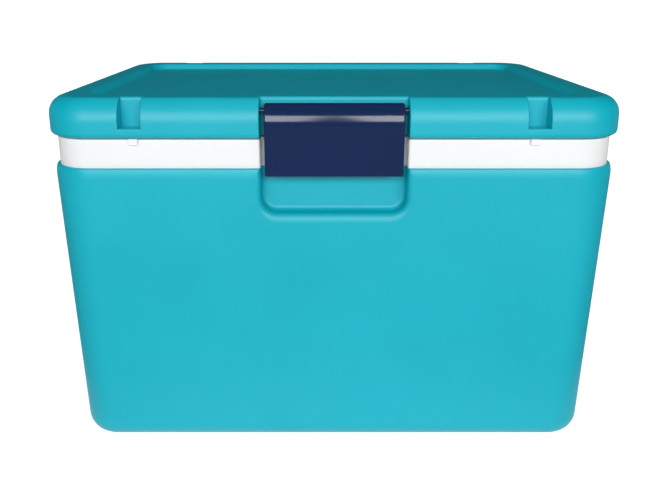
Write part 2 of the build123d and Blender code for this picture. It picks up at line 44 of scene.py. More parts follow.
# Colours are written as sRGB hex and turned to the linear values that shaders take
def colour(code):
    channels = [int(code[i:i + 2], 16) / 255 for i in (1, 3, 5)]
    linear = [c / 12.92 if c <= 0.04045 else ((c + 0.055) / 1.055) ** 2.4 for c in channels]
    return (*linear, 1)


# A texture's scale for a pattern that repeats every so many millimetres
def every(millimetres):
    return 1 / (millimetres * mm)


def addNode(tree, kind, settings=None, links=None):
    node = tree.nodes.new(kind)
    for name, value in (settings or {}).items():
        if isinstance(name, int) or name in node.inputs:
            node.inputs[name].default_value = value
        else:
            setattr(node, name, value)
    for name, source in (links or {}).items():
        tree.links.new(source, node.inputs[name])
    return node


def newMaterial(name, settings):
    material = bpy.data.materials.new(name)
    material.use_nodes = True
    tree = material.node_tree
    shader = tree.nodes["Principled BSDF"]
    for socket, value in settings.items():
        shader.inputs[socket].default_value = value
    return material, tree, shader


# Moulded plastic: a faint cloudiness in the colour and the fine grain that the mould leaves
def mouldedPlastic(name, look):
    material, tree, shader = newMaterial(name, look["shader"])
    place = addNode(tree, "ShaderNodeTexCoord").outputs["Object"]
    cloud = addNode(tree, "ShaderNodeTexNoise",
                    {"Scale": every(look["cloudSize"]), "Detail": 3}, {"Vector": place})
    blend = addNode(tree, "ShaderNodeMix",
                    {"data_type": "RGBA", 6: colour(look["dark"]), 7: colour(look["light"])},
                    {0: cloud.outputs["Fac"]})
    tree.links.new(blend.outputs[2], shader.inputs["Base Color"])
    sheen = addNode(tree, "ShaderNodeMapRange",
                    {"To Min": look["roughness"][0], "To Max": look["roughness"][1]},
                    {"Value": cloud.outputs["Fac"]})
    tree.links.new(sheen.outputs["Result"], shader.inputs["Roughness"])
    grain = addNode(tree, "ShaderNodeTexNoise",
                    {"Scale": every(look["grainSize"]), "Detail": 2, "Roughness": 0.6},
                    {"Vector": place})
    bump = addNode(tree, "ShaderNodeBump",
                   {"Strength": look["grainStrength"], "Distance": look["grainDepth"] * mm},
                   {"Height": grain.outputs["Fac"]})
    tree.links.new(bump.outputs["Normal"], shader.inputs["Normal"])
    return material


# Turquoise polyethylene, injection moulded in a spark-eroded mould: a soft, broad sheen
turquoisePolyethylene = mouldedPlastic("turquoise polyethylene, satin moulded", {
    "shader": {"IOR": 1.54, "Specular IOR Level": 0.43},
    "dark": "#02B0C4", "light": "#06B9CC",
    "cloudSize": 60,
    "roughness": (0.40, 0.46),
    "grainSize": 1.1,        # the real grain is about 0.3 mm; drawn coarser so that it shows
    "grainDepth": 0.03, "grainStrength": 0.35,
})

# White polyethylene liner, moulded smooth: clean and a little glossier than the shells
whitePolyethylene = mouldedPlastic("white polyethylene, smooth moulded", {
    "shader": {"IOR": 1.54, "Specular IOR Level": 0.3, "Subsurface Weight": 0.2,
               "Subsurface Radius": (0.95, 0.95, 1), "Subsurface Scale": 9 * mm},
    "dark": "#FBFBFC", "light": "#FEFEFE",
    "cloudSize": 80,
    "roughness": (0.34, 0.40),
    "grainSize": 1.6, "grainDepth": 0.02, "grainStrength": 0.2,
})

# Navy ABS, moulded in a polished mould: sharp, bright reflections over a deep colour
navyAbs = mouldedPlastic("navy ABS, high gloss moulded", {
    "shader": {"IOR": 1.53, "Specular IOR Level": 0.45},
    "dark": "#15274F", "light": "#1A2C55",
    "cloudSize": 50,
    "roughness": (0.10, 0.13),
    "grainSize": 9, "grainDepth": 0.02, "grainStrength": 0.15,
})

# Injected polyurethane foam, closed cell: matt, pale straw and finely pitted
polyurethaneFoam = mouldedPlastic("polyurethane foam, injected rigid", {
    "shader": {"Specular IOR Level": 0.1},
    "dark": "#D8C690", "light": "#E8DAB0",
    "cloudSize": 12,
    "roughness": (0.85, 0.95),
    "grainSize": 1.2, "grainDepth": 0.3, "grainStrength": 0.6,
})

# Grey EPDM sponge seal, extruded: soft, matt skin
epdmSeal = mouldedPlastic("grey EPDM sponge, extruded", {
    "shader": {"Specular IOR Level": 0.2},
    "dark": "#8D9195", "light": "#9A9EA2",
    "cloudSize": 15,
    "roughness": (0.65, 0.75),
    "grainSize": 0.9, "grainDepth": 0.05, "grainStrength": 0.4,
})

# White nylon hinges, moulded: waxy and slightly warm
whiteNylon = mouldedPlastic("white nylon, moulded", {
    "shader": {"IOR": 1.53, "Specular IOR Level": 0.4},
    "dark": "#E9E9E6", "light": "#F2F2F0",
    "cloudSize": 20,
    "roughness": (0.38, 0.45),
    "grainSize": 1.2, "grainDepth": 0.02, "grainStrength": 0.3,
})

# Natural polyethylene bottles, blow moulded: milky, light goes into the wall and comes back
milkyPolyethylene = mouldedPlastic("milky polyethylene, blow moulded", {
    "shader": {"IOR": 1.51, "Specular IOR Level": 0.4, "Subsurface Weight": 0.3,
               "Subsurface Radius": (0.6, 0.8, 1.0), "Subsurface Scale": 6 * mm},
    "dark": "#D3E2EA", "light": "#E2EDF2",
    "cloudSize": 18,
    "roughness": (0.30, 0.42),
    "grainSize": 2.5, "grainDepth": 0.08, "grainStrength": 0.35,
})

# White polypropylene caps on the coolant bottles, moulded: clean, with a soft sheen
whitePolypropylene = mouldedPlastic("white polypropylene, moulded cap", {
    "shader": {"IOR": 1.49},
    "dark": "#E4E7E9", "light": "#EDEFF0",
    "cloudSize": 10,
    "roughness": (0.30, 0.38),
    "grainSize": 1, "grainDepth": 0.02, "grainStrength": 0.25,
})


# Stainless steel pins and screws, drawn and polished: bright with fine lines round the shank
def drawnStainless():
    material, tree, shader = newMaterial("stainless steel, drawn and polished",
                                         {"Metallic": 1, "Base Color": colour("#C9CBCD")})
    place = addNode(tree, "ShaderNodeTexCoord").outputs["Object"]
    lines = addNode(tree, "ShaderNodeTexNoise", {"Scale": every(0.8), "Detail": 2},
                    {"Vector": place})
    spread = addNode(tree, "ShaderNodeMapRange", {"To Min": 0.22, "To Max": 0.34},
                     {"Value": lines.outputs["Fac"]})
    tree.links.new(spread.outputs["Result"], shader.inputs["Roughness"])
    return material


stainless = drawnStainless()
print("materials made")

# The finish of each CAD node; the latch pin is given the flap's navy rather than its steel, as
# painted shade, so that it reads as the shadowed gap beside the flap; the shells that are modelled
# below replace theirs
finishes = {
    "outer_shell": turquoisePolyethylene, "lid_shell": turquoisePolyethylene,
    "inner_liner": whitePolyethylene, "lid_liner": whitePolyethylene,
    "body_foam": polyurethaneFoam, "lid_foam": polyurethaneFoam,
    "foam_plug": turquoisePolyethylene, "lid_gasket": epdmSeal,
    # the latch pin's navy is painted shade standing in for the dark gap beside the flap
    "latch_flap": navyAbs, "latch_pin": navyAbs, "hinge_pin": stainless,
    "hinge_body_screws": stainless, "hinge_lid_screws": stainless,
    "hinge_body_leaf": whiteNylon, "hinge_lid_leaf": whiteNylon,
    "ice_pack_cap": whitePolypropylene, "ice_pack": milkyPolyethylene,
}
for name, node in nodes.items():
    start = max((key for key in finishes if name.startswith(key)), key=len)
    node.data.materials.clear()
    node.data.materials.append(finishes[start])
print("CAD nodes finished")


# Even steps from one angle in degrees to another, in radians
def sweep(start, end, steps):
    return [math.radians(start + (end - start) * i / steps) for i in range(steps + 1)]


def arcPoints(centre, radius, start, end, steps):
    return [(centre[0] + radius * math.cos(a), centre[1] + radius * math.sin(a))
            for a in sweep(start, end, steps)]


# A slot or notch in a rim, from its left lip round to its right lip; out is measured
# from the middle of the piece. A closed one keeps its points on the rim's own line,
# square behind those of an open one, so that no face between the two crosses the slot.
def cutPoints(cut, edge):
    lip, root, half, steps = cut["lip"], cut["root"], cut["half"], cut["steps"]
    if cut["open"]:
        room = (edge - cut["back"]) / 2
        lip, root = min(lip, room), min(root, room)
    left = []
    for a in sweep(0, 90, steps):
        left.append((-half - lip + lip * math.sin(a), edge - lip + lip * math.cos(a)))
    for a in sweep(0, 90, steps):
        left.append((-half + root - root * math.cos(a), cut["back"] + root - root * math.sin(a)))
    if not cut["open"]:
        left = left[:1] + [(x, edge - cut["dip"]) for x, out in left[1:]]
    return left + [(-x, out) for x, out in reversed(left)]


# A rounded rectangle with cuts in its front and rear sides, anticlockwise from above;
# its corners are elliptical where deepRadius differs from radius
def rimRing(halfWidth, halfDepth, radius, z, frontCuts=(), rearCuts=(), deepRadius=None, steps=14):
    deep = radius if deepRadius is None else deepRadius
    x, y = halfWidth - radius, halfDepth - deep

    def corner(signX, signY, start):
        return [(signX * x + radius * px, signY * y + deep * py)
                for px, py in arcPoints((0, 0), 1, start, start + 90, steps)]

    ring = corner(-1, -1, 180)
    for cut in frontCuts:
        ring += [(cut["at"] + px, -out) for px, out in cutPoints(cut, halfDepth)]
    ring += corner(1, -1, 270) + corner(1, 1, 0)
    for cut in reversed(rearCuts):
        ring += [(cut["at"] - px, out) for px, out in cutPoints(cut, halfDepth)]
    ring += corner(-1, 1, 90)
    return [(px, py, z) for px, py in ring]


# A closed mesh from rings of equal length, in millimetres; a last ring that isn't flat
# is closed by strips from its left half to its right half
def loftMesh(rings, bentEnd=False):
    mesh = bmesh.new()
    rows = [[mesh.verts.new([c * mm for c in point]) for point in ring] for ring in rings]
    for low, high in zip(rows, rows[1:]):
        for i in range(len(low)):
            j = (i + 1) % len(low)
            mesh.faces.new((low[i], low[j], high[j], high[i]))
    mesh.faces.new(list(reversed(rows[0])))
    end = rows[-1]
    if bentEnd:
        for i in range(len(end) // 2 - 1):
            mesh.faces.new((end[i], end[i + 1], end[-2 - i], end[-1 - i]))
    else:
        mesh.faces.new(end)
    bmesh.ops.remove_doubles(mesh, verts=mesh.verts, dist=0.002 * mm)
    bmesh.ops.dissolve_degenerate(mesh, edges=mesh.edges, dist=0.001 * mm)
    bmesh.ops.recalc_face_normals(mesh, faces=mesh.faces)
    return mesh


def newPiece(name, mesh):
    data = bpy.data.meshes.new(name)
    mesh.to_mesh(data)
    mesh.free()
    piece = bpy.data.objects.new(name, data)
    bpy.context.scene.collection.objects.link(piece)
    return piece


# Applies a piece's modifiers, so that its mesh is its final shape
def settle(piece):
    bpy.context.view_layer.update()
    graph = bpy.context.evaluated_depsgraph_get()
    data = bpy.data.meshes.new_from_object(piece.evaluated_get(graph))
    piece.modifiers.clear()
    old = piece.data
    piece.data = data
    bpy.data.meshes.remove(old)


def carve(piece, tools, operation="DIFFERENCE"):
    for tool in tools:
        change = piece.modifiers.new("carve", "BOOLEAN")
        change.object, change.operation, change.solver = tool, operation, "EXACT"
        settle(piece)
        bpy.data.objects.remove(tool)


# Smooth shading that stays crisp at real edges, the finish, and the body that carries it
def finishPiece(piece, material, body, stands=()):
    mesh = bmesh.new()
    mesh.from_mesh(piece.data)
    bmesh.ops.remove_doubles(mesh, verts=mesh.verts, dist=0.002 * mm)
    for face in mesh.faces:
        face.smooth = True
    for edge in mesh.edges:
        edge.smooth = len(edge.link_faces) == 2 and edge.calc_face_angle(0) < sharpAngle
    mesh.to_mesh(piece.data)
    mesh.free()
    weighting = piece.modifiers.new("weighting", "WEIGHTED_NORMAL")
    weighting.keep_sharp = True
    weighting.weight = 80
    settle(piece)
    piece.data.materials.clear()
    piece.data.materials.append(material)
    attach(piece, body)
    if stands:
        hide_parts(*stands)


# Lid: crowned edge, sunk tray, the latch's slot and a notch for each hinge or its mirror image
lidShape = {
    "width": 400, "depth": 270, "corner": 32, "bottom": 241, "top": 268, "wall": 2.5,
    "footRadius": 3.5, "crownStart": 10, "crownRadius": 20, "edgeRadius": 5, "endRadius": 13,
    "crownSweep": 53.13, "edgeInset": 11, "footTaper": 60,
    "lipWidth": 10, "lipHeight": 3, "slotLip": 4.5,
    "trayMargin": 25, "trayDepth": 5, "trayTaper": 28, "trayCorner": 18,
    "trayLip": 2, "trayRoot": 1.6,
    "slotWidth": 101, "slotDepth": 13.5,
    "notchWidth": 15, "notchDepth": 12, "notchFloor": 7, "notchSpacing": 275,
    "topRound": 2, "mouthRound": 1, "innerRound": 1.2,
}


def lidRings():
    s = lidShape
    halfWidth, halfDepth = s["width"] / 2, s["depth"] / 2
    floor = s["bottom"] + s["notchFloor"]

    def cutAt(at, width, depth, grow, isOpen, dip=0):
        return {"at": at, "half": width / 2 + grow[0], "back": halfDepth - depth - grow[1],
                "lip": s["mouthRound"], "root": s["innerRound"], "steps": 4,
                "open": isOpen, "dip": dip}

    # the crown is wide along the front and rear and tight at the two ends
    def endInset(z, inset):
        rise = z - (s["top"] - s["endRadius"])
        if z < s["bottom"] + s["crownStart"]:
            return inset
        return s["endRadius"] - math.sqrt(s["endRadius"] ** 2 - max(0, rise) ** 2)

    def ring(inset, z, grow=(0, 0), notch=True, slot=True, dip=0, radius=None, outside=False):
        slotCut = cutAt(0, s["slotWidth"], s["slotDepth"], grow, slot)
        notchGrow = grow if notch or not slot else (0, 0)
        notches = [cutAt(side * s["notchSpacing"] / 2, s["notchWidth"], s["notchDepth"],
                         notchGrow, notch, dip) for side in (-1, 1)]
        corner = s["corner"] - inset if radius is None else radius
        side = endInset(z, inset) if outside else inset
        return rimRing(halfWidth - side, halfDepth - inset, corner + inset - side, z,
                       (notches[0], slotCut, notches[1]), notches, deepRadius=corner)

    def roundOver(z):
        drop = min(1, max(0, (z - s["top"] + s["topRound"]) / s["topRound"]))
        spread = s["topRound"] * (1 - math.sqrt(1 - drop ** 2))
        return (spread / 2, spread)

    rings = []
    taper = math.radians(s["trayTaper"])
    wall = s["wall"]
    # the hollow inside, from the underside of the tray down to the lip
    trayUnder = s["trayDepth"] + wall
    underside = s["top"] - trayUnder
    reach = s["trayMargin"] - wall
    rings.append(ring(reach + trayUnder * math.tan(taper), underside, (wall, wall), False, False,
                      radius=s["trayCorner"] + wall - trayUnder * math.tan(taper)))
    shelf = s["top"] - wall
    rings.append(ring(reach + wall * math.tan(taper), shelf, (wall, wall), False, False,
                      radius=s["trayCorner"] + wall - wall * math.tan(taper)))
    crownZ = s["bottom"] + s["crownStart"]
    inner = s["crownRadius"] - wall
    top = math.degrees(math.asin((shelf - crownZ) / inner))
    for a in sweep(top, 0, 8):
        rings.append(ring(s["crownRadius"] - inner * math.cos(a), crownZ + inner * math.sin(a),
                          (wall, wall)))
    rings.append(ring(wall, floor - wall, (wall, wall)))
    rings.append(ring(wall, floor - wall, (wall, wall), False))
    rings.append(ring(wall, s["bottom"] + s["lipHeight"], (wall, wall), False))
    rings.append(ring(s["lipWidth"], s["bottom"] + s["lipHeight"], (s["slotLip"],) * 2, False))
    rings.append(ring(s["lipWidth"], s["bottom"], (s["slotLip"],) * 2, False))
    # the outside, from the foot up over the crown
    foot = s["footRadius"]
    for a in sweep(0, 90, 8):
        spread = 1 - math.sin(math.pi / 2 * min(1, a / math.radians(s["footTaper"])))
        rings.append(ring(foot - foot * math.sin(a), s["bottom"] + foot - foot * math.cos(a),
                          (spread, spread), False))
    sill = s["mouthRound"]
    for a in sweep(0, 90, 3):
        rings.append(ring(0, floor - sill + sill * math.sin(a), (0, 0), False,
                          dip=sill * (1 - math.cos(a))))
    rings.append(ring(0, floor))
    for a in sweep(0, s["crownSweep"], 14):
        z = crownZ + s["crownRadius"] * math.sin(a)
        rings.append(ring(s["crownRadius"] * (1 - math.cos(a)), z, roundOver(z), outside=True))
    edge = s["edgeRadius"]
    for a in sweep(s["crownSweep"], 90, 5)[1:]:
        z = s["top"] - edge + edge * math.sin(a)
        rings.append(ring(s["edgeInset"] - edge * math.cos(a), z, roundOver(z), outside=True))
    # the tray
    turn = math.radians(90 - s["trayTaper"])
    lip = s["trayLip"]
    start = s["trayMargin"] - lip * math.tan(turn / 2)
    rim = roundOver(s["top"])
    for i in range(5):
        a = turn * i / 4
        inset = start + lip * math.sin(a)
        rings.append(ring(inset, s["top"] - lip + lip * math.cos(a), rim, False, False,
                          radius=s["trayCorner"] + s["trayMargin"] - inset))
    root = s["trayRoot"]
    end = s["trayMargin"] + s["trayDepth"] * math.tan(taper) + root * math.tan(turn / 2)
    for i in range(5):
        a = turn * (1 - i / 4)
        inset = end - root * math.sin(a)
        rings.append(ring(inset, s["top"] - s["trayDepth"] + root - root * math.cos(a), rim,
                          False, False, radius=s["trayCorner"] + s["trayMargin"] - inset))
    return rings


lid = newPiece("lid_top_moulding", loftMesh(lidRings()))
finishPiece(lid, turquoisePolyethylene, "lid", ("lid_shell",))
print("lid moulded")

# Tub: drafted walls, a recess behind the latch and a hand grip in each end
tubShape = {
    "width": 398, "depth": 268, "corner": 31, "bottom": 2, "top": 220, "wall": 2.5,
    "draft": 1.5, "bottomRadius": 16, "baseWall": 3,
    "rimRadius": 1.2, "rimCrown": 22, "rimLean": 18,
    "openingWidth": 379, "openingDepth": 249, "openingCorner": 21.5,
    "openingSlot": 113, "openingSlotBack": 115.5,
    "plinthWidth": 330, "plinthDepth": 200, "plinthCorner": 20, "plinthEdge": 0.6,
    "plugSpacing": 180, "plugRecess": 16, "plugHead": 14, "plugStem": 11, "plugHeadHeight": 1.5,
    "recessWidth": 101, "recessFloor": 187.5, "recessBack": 120, "recessCorner": 11,
    "recessLip": 4, "recessRoot": 3, "recessLowLip": 7, "recessLean": 1.2, "recessLeanFrom": 213,
    "gripWidth": 100, "gripHeight": 34, "gripDepth": 16, "gripMiddle": 195, "gripCorner": 12,
    "gripLip": 2, "gripRoot": 3,
}
lipStart = 12        # degrees at which a flared tool meets the wall, so that the lip runs out softly
lipRunOut = 0.4      # how far in front of the wall the flare ends
toolReach = 20       # how far in front of the wall a tool starts
sideRows = (1, 0.45, 0.3, 0.15)     # heights of the rows up the recess's sides, as shares
overRim = 5          # how far the recess's tool stands above the rim


def tubInset(z):
    return (tubShape["top"] - z) * math.tan(math.radians(tubShape["draft"]))


def tubForm(wall, low, high, bottomRadius, rimRadius):
    s = tubShape
    slope = math.cos(math.radians(s["draft"]))

    def ring(inset, z):
        slot = {"at": 0, "half": s["openingSlot"] / 2, "back": s["openingSlotBack"],
                "lip": 1, "root": 1, "steps": 2, "open": False, "dip": 0}
        return rimRing(s["width"] / 2 - inset, s["depth"] / 2 - inset,
                       s["corner"] - inset, z, (slot,))

    rings = []
    z = low + bottomRadius
    for a in sweep(0, 90 - s["draft"], 10):
        rings.append(ring(wall + tubInset(z) + bottomRadius / slope - bottomRadius * math.sin(a),
                          z - bottomRadius * math.cos(a)))
    if rimRadius:
        # the wall leans in a little towards a tight edge at the top
        start = math.radians(90 - s["draft"])
        lean = start + math.radians(s["rimLean"])
        crown = s["rimCrown"]
        z = high - rimRadius + (crown - rimRadius) * math.cos(lean)
        middle = wall + tubInset(z) + crown / slope
        for i in range(7):
            a = start + (lean - start) * i / 6
            rings.append(ring(middle - crown * math.sin(a), z - crown * math.cos(a)))
        middle -= (crown - rimRadius) * math.sin(lean)
        for i in range(1, 6):
            a = lean + (math.pi - lean) * i / 5
            rings.append(ring(middle - rimRadius * math.sin(a),
                              high - rimRadius - rimRadius * math.cos(a)))
    else:
        rings.append(ring(wall + tubInset(high), high))
    return rings


# Loops for a tool that cuts a recess: how far each stands outside the recess's outline,
# and its depth behind the wall's face or, once past the lip, its depth from the back
def recessLoops(lip, root, grow):
    loops = []
    if grow:
        loops += [(grow, "face", -toolReach), (grow, "face", lip)]
    else:
        first = math.radians(lipStart)
        run = (lip * (1 - math.cos(first)) + lipRunOut) / math.tan(first)
        loops.append((lip * (1 - math.sin(first)) + run, "face", -toolReach))
        loops.append((lip * (1 - math.sin(first)) + run, "face", -lipRunOut))
        for a in sweep(lipStart, 90, 7):
            loops.append((lip * (1 - math.sin(a)), "face", lip * (1 - math.cos(a))))
    rounding = root + grow
    for a in sweep(0, 90, 6):
        loops.append((grow - rounding + rounding * math.cos(a), "back",
                      rounding * (1 - math.sin(a)) - grow))
    return loops


# The latch's recess: its lip is softer along the bottom, where a finger goes in,
# and its back leans out towards that edge
def latchRecess(grow):
    s = tubShape
    rings = []
    middleX = s["recessWidth"] / 2 - s["recessCorner"]
    middleZ = s["recessFloor"] + s["recessCorner"]
    for out, measure, depth in recessLoops(s["recessLip"], s["recessRoot"], grow):
        wide = s["recessCorner"] + out
        deep = s["recessCorner"] + out * (s["recessLowLip"] / s["recessLip"] if out > 0 else 1)
        half = [(-middleX - wide, middleZ + share * (s["top"] + overRim - middleZ))
                for share in sideRows]
        half += [(wide * px - middleX, deep * pz + middleZ)
                 for px, pz in arcPoints((0, 0), 1, 180, 270, 10)]
        path = half + [(-x, z) for x, z in reversed(half)]
        if measure == "face":
            rings.append([(x, -s["depth"] / 2 + tubInset(z) + depth, z) for x, z in path])
        else:
            span = s["recessLeanFrom"] - s["recessFloor"]
            rings.append([(x, -s["recessBack"] - depth
                           - s["recessLean"] * max(0, (s["recessLeanFrom"] - z) / span) ** 2, z)
                          for x, z in path])
    return newPiece("tool", loftMesh(rings, bentEnd=True))


def handGrip(side, grow):
    s = tubShape
    rings = []
    for out, measure, depth in recessLoops(s["gripLip"], s["gripRoot"], grow):
        half, rise = s["gripWidth"] / 2 + out, s["gripHeight"] / 2 + out
        radius = s["gripCorner"] + out
        path = []
        for n, (cy, cz) in enumerate(((-1, -1), (1, -1), (1, 1), (-1, 1))):
            path += arcPoints((cy * (half - radius), cz * (rise - radius)), radius,
                              180 + 90 * n, 270 + 90 * n, 8)
        path = [(y, z + s["gripMiddle"]) for y, z in path]
        if measure == "face":
            rings.append([(side * (s["width"] / 2 - tubInset(z) - depth), y, z) for y, z in path])
        else:
            back = s["width"] / 2 - s["gripDepth"]
            rings.append([(side * (back + depth), y, z) for y, z in path])
    return newPiece("tool", loftMesh(rings))


# Circles about an upright axis, one for each radius and height of a profile
def turnedRings(profile, centre, steps):
    return [[(x, y, z) for x, y in arcPoints(centre, radius, 0, 360, steps)[:-1]]
            for radius, z in profile]


def buildTub():
    s = tubShape
    edge = s["plinthEdge"]
    plinth = [(edge, 0), (0, edge), (0, s["bottom"])]
    rings = []
    for inset, z in plinth:
        slot = {"at": 0, "half": s["openingSlot"] / 2, "back": 0, "lip": 1, "root": 1,
                "steps": 2, "open": False, "dip": 0}
        rings.append(rimRing(s["plinthWidth"] / 2 - inset, s["plinthDepth"] / 2 - inset,
                             s["plinthCorner"] - inset, z, (slot,)))
    rings += tubForm(0, s["bottom"], s["top"], s["bottomRadius"], s["rimRadius"])
    tub = newPiece("tub_moulding", loftMesh(rings))
    wall = s["wall"]
    inside = s["bottom"] + s["baseWall"]
    cavity = newPiece("tool", loftMesh(tubForm(wall, inside, s["top"] - wall,
                                               s["bottomRadius"] - wall, 0)))
    carve(cavity, [latchRecess(wall), handGrip(-1, wall), handGrip(1, wall)])
    slot = {"at": 0, "half": s["openingSlot"] / 2, "back": s["openingSlotBack"],
            "lip": 1, "root": 1, "steps": 3, "open": True, "dip": 0}
    opening = newPiece("tool", loftMesh([
        rimRing(s["openingWidth"] / 2, s["openingDepth"] / 2, s["openingCorner"], z, (slot,))
        for z in (s["top"] - wall - 1, s["top"] + 1)]))
    plugHoles = [newPiece("tool", loftMesh(turnedRings(
        ((s["plugRecess"], -1), (s["plugRecess"], s["bottom"]), (s["plugHead"], s["bottom"]),
         (s["plugHead"], s["bottom"] + s["plugHeadHeight"]),
         (s["plugStem"], s["bottom"] + s["plugHeadHeight"]), (s["plugStem"], inside + 1)),
        (side * s["plugSpacing"] / 2, 0), 48))) for side in (-1, 1)]
    carve(tub, [cavity, opening, latchRecess(0), handGrip(-1, 0), handGrip(1, 0), *plugHoles])
    return tub


finishPiece(buildTub(), turquoisePolyethylene, "root", ("outer_shell",))
print("tub moulded")

# White liner: the rim band and the chamber in one moulding, with two small lugs
# in front and a rounded keeper for the latch's hook
linerShape = {
    "width": 391, "depth": 261, "corner": 27.5, "bottom": 220, "top": 240, "wall": 2.5,
    "slotWidth": 101, "slotBack": 121.5, "edge": 0.8, "slotEdge": 2,
    "mouthWidth": 335, "mouthDepth": 205, "mouthCorner": 20, "mouthLip": 1.6,
    "chamberFloor": 35.5, "chamberWall": 2, "floorRadius": 6, "draft": 1.5,
    "lugSpacing": 272, "lugWidth": 6.5, "lugDepth": 3, "lugHeight": 4.2, "lugTop": 240.7,
    "lugEdge": 0.6,
    "keeperRadius": 4, "keeperLength": 66, "keeperHeight": 228.5, "keeperEnd": 1.2,
    "keeperSoft": 0.3,
}


def linerRings():
    s = linerShape
    halfWidth, halfDepth = s["width"] / 2, s["depth"] / 2

    def band(inset, z, grow, isOpen=True):
        slot = {"at": 0, "half": s["slotWidth"] / 2 + grow, "back": s["slotBack"] - grow,
                "lip": s["slotEdge"], "root": s["slotEdge"], "steps": 4, "open": isOpen, "dip": 0}
        return rimRing(halfWidth - inset, halfDepth - inset, s["corner"] - inset, z, (slot,))

    def mouth(grow, z):
        lean = (s["top"] - z) * math.tan(math.radians(s["draft"])) - grow
        slot = {"at": 0, "half": s["slotWidth"] / 2 + s["wall"] + s["slotEdge"], "back": 0,
                "lip": 0, "root": 0, "steps": 4, "open": False, "dip": 0}
        return rimRing(s["mouthWidth"] / 2 - lean, s["mouthDepth"] / 2 - lean,
                       s["mouthCorner"] - lean, z, (slot,))

    wall, thin, root = s["wall"], s["chamberWall"], s["floorRadius"]
    rings = []
    # the hidden side, from under the chamber's floor up to the band
    under = s["chamberFloor"] - wall
    outer = root + thin
    for a in sweep(0, 90, 6):
        rings.append(mouth(thin - outer + outer * math.sin(a), under + outer - outer * math.cos(a)))
    rings.append(mouth(thin, s["top"] - wall))
    rings.append(band(wall, s["top"] - wall, wall))
    rings.append(band(wall, s["bottom"], wall))
    # the band's face and its softened top edge
    edge = s["edge"]
    rings.append(band(0, s["bottom"], 0))
    for a in sweep(0, 90, 4):
        rings.append(band(edge - edge * math.cos(a), s["top"] - edge + edge * math.sin(a),
                          edge - edge * math.cos(a)))
    # over the mouth and down into the chamber
    lip = s["mouthLip"]
    for a in sweep(0, 90, 5):
        z = s["top"] - lip + lip * math.cos(a)
        rings.append(mouth(lip - lip * math.sin(a), z))
    for a in sweep(0, 90, 7):
        rings.append(mouth(-root + root * math.cos(a),
                           s["chamberFloor"] + root - root * math.sin(a)))
    return rings


def roundedBlock(low, high, edge):
    mesh = bmesh.new()
    bmesh.ops.create_cube(mesh, size=1)
    for vert in mesh.verts:
        vert.co = [(high[i] if vert.co[i] > 0 else low[i]) * mm for i in range(3)]
    bmesh.ops.bevel(mesh, geom=mesh.edges, offset=edge * mm, segments=3, profile=0.5,
                    affect="EDGES")
    return newPiece("tool", mesh)


def buildLiner():
    s = linerShape
    liner = newPiece("liner_moulding", loftMesh(linerRings()))
    front = -s["depth"] / 2
    lugs = [roundedBlock((x - s["lugWidth"] / 2, front - s["lugDepth"], s["lugTop"] - s["lugHeight"]),
                         (x + s["lugWidth"] / 2, front + s["wall"] / 2, s["lugTop"]), s["lugEdge"])
            for x in (-s["lugSpacing"] / 2, s["lugSpacing"] / 2)]
    radius, end = s["keeperRadius"], s["keeperEnd"]
    half = s["keeperLength"] / 2
    keeperRings = []
    soft = s["keeperSoft"] * end
    for x, inset in ((-half, end), (-half + soft, soft), (-half + end, 0),
                     (half - end, 0), (half - soft, soft), (half, end)):
        arc = arcPoints((-s["slotBack"], s["keeperHeight"]), radius - inset, 90, 270, 16)
        arc += [(-s["slotBack"] + 1, s["keeperHeight"] - radius + inset),
                (-s["slotBack"] + 1, s["keeperHeight"] + radius - inset)]
        keeperRings.append([(x, y, z) for y, z in arc])
    carve(liner, [*lugs, newPiece("tool", loftMesh(keeperRings))], "UNION")
    return liner


finishPiece(buildLiner(), whitePolyethylene, "root", ("inner_liner",))
print("liner moulded")

# Latch flap: flat face, crowned top rolled over the pin, hollow back with ears, ribs and a hook
latchShape = {
    "width": 94.6, "face": -136, "bottom": 215, "back": -131, "crownBase": 249,
    "crownRadius": 24, "knuckle": 5.2, "pivotZ": 259.3, "sideRound": 1.3, "footRound": 1.3,
    "wall": 2.6, "flange": 2.6, "hollowFloor": 219, "hollowBack": -118,
    "earSpacing": 46, "earWidth": 5, "earFloor": 244.3, "earBack": -130.8,
    "hookLength": 66, "hookThickness": 3, "hookTop": 225.5, "hookTip": -125.8,
    "ribSpacing": 22, "ribWidth": 2, "ribRise": 9, "ribSetback": 3, "ribSink": 1,
    "pinHole": 2.05,
}


def latchPivotY():
    s = latchShape
    rise = s["pivotZ"] - s["crownBase"]
    span = s["crownRadius"] - s["knuckle"]
    return s["face"] + s["crownRadius"] - math.sqrt(span ** 2 - rise ** 2)


# The flap seen from its end, as (y, z), drawn in from its outer face by inset
def flapOutline(inset, bottom, back, footRound=0):
    s = latchShape
    pivotY, face, knuckle = latchPivotY(), s["face"] + inset, s["knuckle"] - inset
    span = s["crownRadius"] - s["knuckle"]
    reach = math.degrees(math.asin((s["pivotZ"] - s["crownBase"]) / span))
    path = []
    if footRound:
        path += arcPoints((back - footRound, bottom + footRound), footRound, 0, -90, 4)
        path += arcPoints((face + footRound, bottom + footRound), footRound, 270, 180, 4)
    else:
        path += [(back, bottom), (face, bottom)]
    path += [(face, bottom + (s["crownBase"] - bottom) * i / 4) for i in range(1, 4)]
    path += arcPoints((s["face"] + s["crownRadius"], s["crownBase"]), s["crownRadius"] - inset,
                      180, 180 - reach, 16)
    path += arcPoints((pivotY, s["pivotZ"]), knuckle, 180 - reach, 0, 14)[1:]
    path += [(pivotY + knuckle, s["pivotZ"] - knuckle)]
    return path


def flapSlice(start, end, inset, bottom, back):
    return newPiece("tool", loftMesh([[(x, y, z) for y, z in flapOutline(inset, bottom, back)]
                                      for x in (start, end)]))


